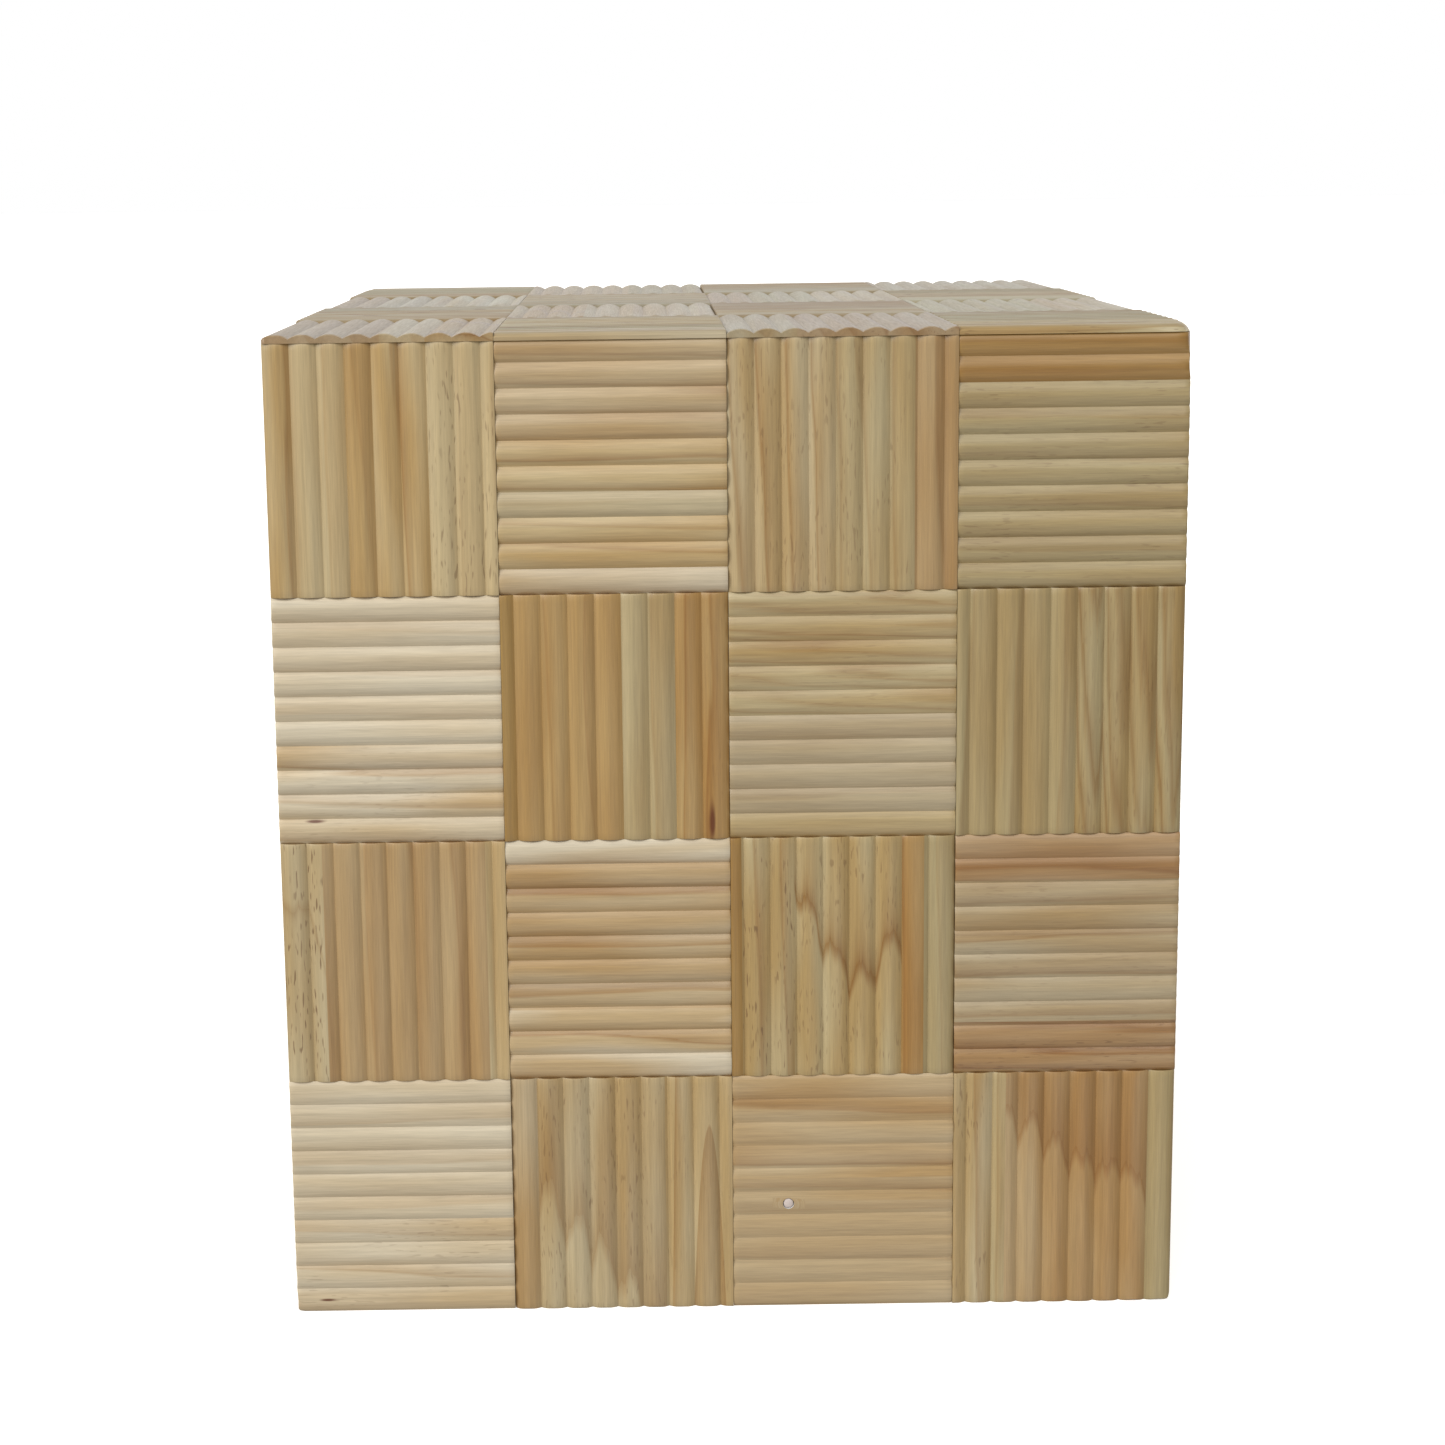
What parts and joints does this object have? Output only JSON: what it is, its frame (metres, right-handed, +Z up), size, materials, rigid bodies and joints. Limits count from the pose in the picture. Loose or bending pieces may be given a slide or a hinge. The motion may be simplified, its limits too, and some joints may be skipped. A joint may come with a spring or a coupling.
{
  "type": "wooden puzzle box",
  "caption": "Closed wooden puzzle box clad in reeded pine tiles, with a lid that slides back, a hidden side drawer, a lid bolt and a locking pin.",
  "frame": {"origin": "on the floor under the middle of the closed box", "axes": "+Z up, the front faces -Y, the drawer opens to +X and the lid slides to +Y"},
  "size_m": [0.3, 0.332, 0.3351],
  "materials": {
    "reeded_pine": "sanded natural pine, matt",
    "pine_board": "planed pine, matt",
    "birch_plywood": "sanded plywood, matt",
    "beech": "planed beech, matt",
    "steel_pin": "turned steel",
    "pale_pin_end": "sanded pale hardwood"
  },
  "bodies": {
    "carcass": {"bottom_panel": "birch_plywood", "shelf_panel": "birch_plywood", "front_panel": "pine_board", "back_panel": "pine_board", "left_panel": "pine_board", "right_panel": "pine_board", "post_front_left": "pine_board", "post_front_right": "pine_board", "post_back_left": "pine_board", "post_back_right": "pine_board", "drawer_guide_front": "beech", "drawer_guide_back": "beech", "drawer_stop": "beech", "bolt_guide_lower": "beech", "bolt_guide_upper": "beech", "front_tiles_row_1": "reeded_pine", "front_tiles_row_2": "reeded_pine", "front_tiles_row_3": "reeded_pine", "front_tiles_row_4": "reeded_pine", "left_tiles_row_1": "reeded_pine", "left_tiles_row_2": "reeded_pine", "left_tiles_row_3": "reeded_pine", "left_tiles_row_4": "reeded_pine", "right_tiles_row_1": "reeded_pine", "right_tiles_row_2": "reeded_pine", "right_tiles_row_3": "reeded_pine", "back_tiles_row_2": "reeded_pine", "back_tiles_row_3": "reeded_pine", "back_tiles_row_4": "reeded_pine"},
    "lid": {"top_tiles_row_1": "reeded_pine", "top_tiles_row_2": "reeded_pine", "top_tiles_row_3": "reeded_pine", "top_tiles_row_4": "reeded_pine", "back_tiles_row_1": "reeded_pine", "lid_board": "pine_board", "lid_back_board": "pine_board", "lid_keeper": "beech"},
    "drawer": {"drawer_front": "pine_board", "drawer_side_front": "pine_board", "drawer_side_back": "pine_board", "drawer_end": "pine_board", "drawer_bottom": "birch_plywood", "drawer_keeper": "beech", "right_tiles_row_4": "reeded_pine"},
    "bolt": {"lid_bolt": "beech", "bolt_collar": "beech"},
    "pin": {"pin_rod": "steel_pin", "pin_tip": "pale_pin_end"}
  },
  "joints": [
    {"name": "lid_slide", "type": "slide", "parent": "carcass", "child": "lid", "axis": [0, 1, 0], "range_m": [0, 0.25]},
    {"name": "drawer_slide", "type": "slide", "parent": "carcass", "child": "drawer", "axis": [1, 0, 0], "range_m": [0, 0.22]},
    {"name": "bolt_slide", "type": "slide", "parent": "carcass", "child": "bolt", "axis": [0, 0, 1], "range_m": [0, 0.009]},
    {"name": "pin_slide", "type": "slide", "parent": "carcass", "child": "pin", "axis": [0, 1, 0], "range_m": [0, 0.005]}
  ]
}
